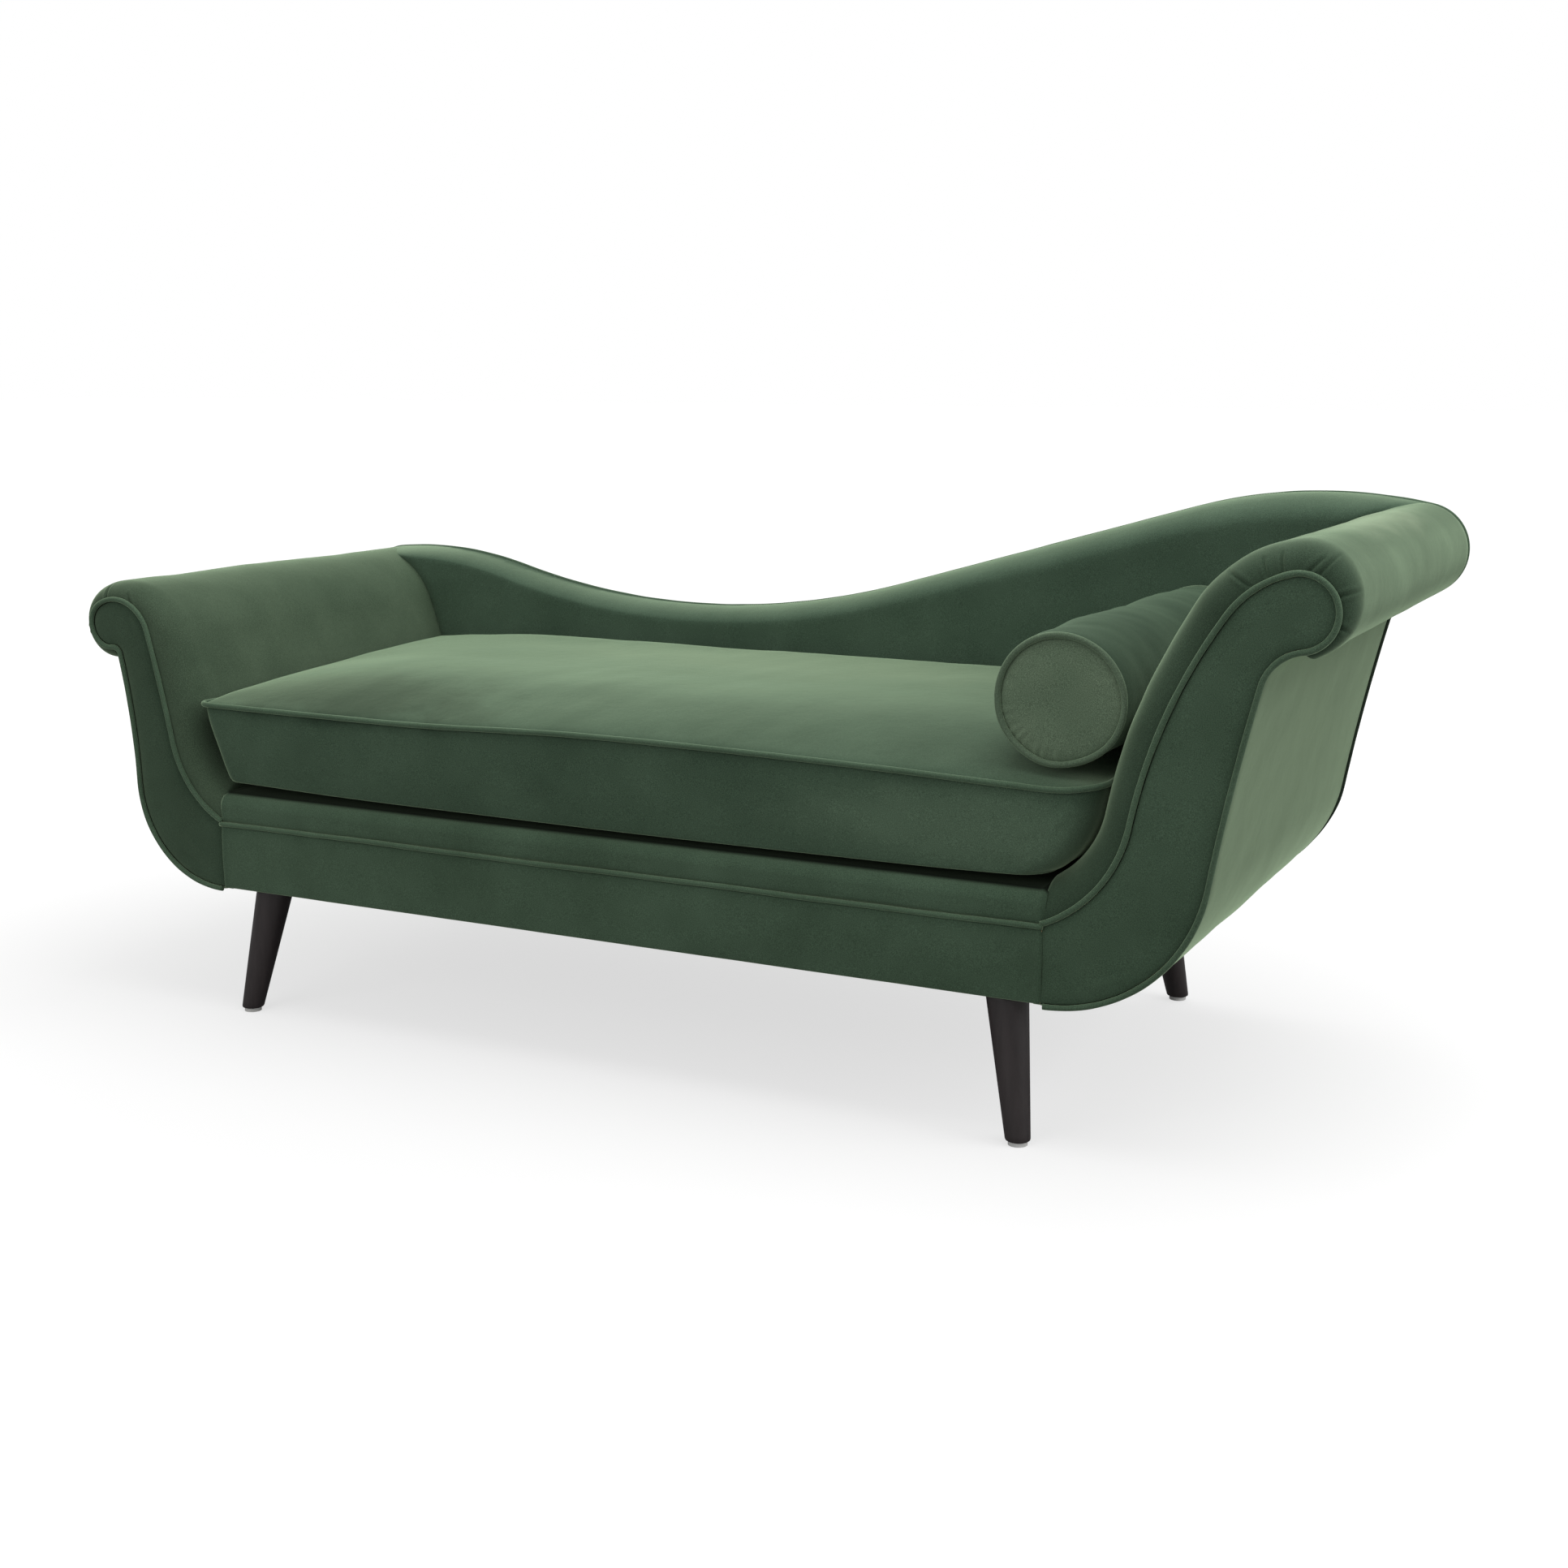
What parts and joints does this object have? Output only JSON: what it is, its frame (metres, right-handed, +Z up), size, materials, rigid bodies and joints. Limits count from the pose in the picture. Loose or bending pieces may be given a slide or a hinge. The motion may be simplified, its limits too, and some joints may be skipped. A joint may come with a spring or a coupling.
{
  "type": "chaise longue",
  "caption": "Upholstered chaise longue with a high scrolled head arm, a low scrolled foot arm, a wave-topped back, a loose seat cushion, a bolster and splayed legs.",
  "frame": {"origin": "centre of the bounding box's length and depth, on the floor", "axes": "+X from the low foot arm to the high head arm, +Y from the front rail to the back, +Z up"},
  "size_m": [1.9028, 0.724, 0.7798],
  "materials": {
    "velvet": "matte",
    "foam": "matte",
    "fibre": "matte",
    "felt": "matte",
    "dust_cloth": "matte",
    "leg_wood": "satin",
    "rail_wood": "matte",
    "plywood": "matte",
    "glide_plastic": "satin",
    "clip_plastic": "matte",
    "spring_steel": "satin",
    "zinc_steel": "satin",
    "zip_tape": "matte",
    "zip_metal": "satin"
  },
  "bodies": {
    "frame": {"back_board": "plywood", "back_pad": "foam", "back_welt": "velvet", "centre_brace": "rail_wood", "corner_blocks": "rail_wood", "deck_cover": "velvet", "deck_foam": "foam", "deck_welt": "velvet", "dust_cover": "dust_cloth", "end_rail_foot": "rail_wood", "end_rail_head": "rail_wood", "foot_arm_battens": "rail_wood", "foot_arm_cover": "velvet", "foot_arm_front_panel": "plywood", "foot_arm_lining": "plywood", "foot_arm_pad": "foam", "foot_arm_rear_panel": "plywood", "foot_facing_welt": "velvet", "foot_front_facing": "velvet", "foot_glides": "glide_plastic", "foot_side_panel": "velvet", "front_rail": "rail_wood", "front_rail_cover": "velvet", "hanger_bolts": "zinc_steel", "head_arm_battens": "rail_wood", "head_arm_cover": "velvet", "head_arm_front_panel": "plywood", "head_arm_lining": "plywood", "head_arm_pad": "foam", "head_arm_rear_panel": "plywood", "head_facing_welt": "velvet", "head_front_facing": "velvet", "head_side_panel": "velvet", "inside_back_cover": "velvet", "leg_front_foot_end": "leg_wood", "leg_front_head_end": "leg_wood", "leg_plates": "zinc_steel", "leg_rear_foot_end": "leg_wood", "leg_rear_head_end": "leg_wood", "outside_back_panel": "velvet", "plate_screws": "zinc_steel", "rear_rail": "rail_wood", "seat_springs": "spring_steel", "spring_clips": "clip_plastic", "spring_felt": "felt"},
    "seat_cushion": {"cushion_foam": "foam", "cushion_wrap": "fibre", "cushion_cover": "velvet", "cushion_welt": "velvet", "cushion_zip": "zip_tape"},
    "zip_slider": {"zip_slider": "zip_metal"},
    "bolster": {"bolster_core": "fibre", "bolster_cover": "velvet", "bolster_end_front": "velvet", "bolster_end_rear": "velvet", "bolster_welts": "velvet"}
  },
  "joints": [
    {"name": "seat_cushion_lift", "type": "slide", "parent": "frame", "child": "seat_cushion", "axis": [0, 0, 1], "range_m": [0, 0.35]},
    {"name": "bolster_lift", "type": "slide", "parent": "seat_cushion", "child": "bolster", "axis": [0, 0, 1], "range_m": [0, 0.3]},
    {"name": "cushion_zip_slide", "type": "slide", "parent": "seat_cushion", "child": "zip_slider", "axis": [1, 0, 0], "range_m": [0, 0.534]}
  ]
}
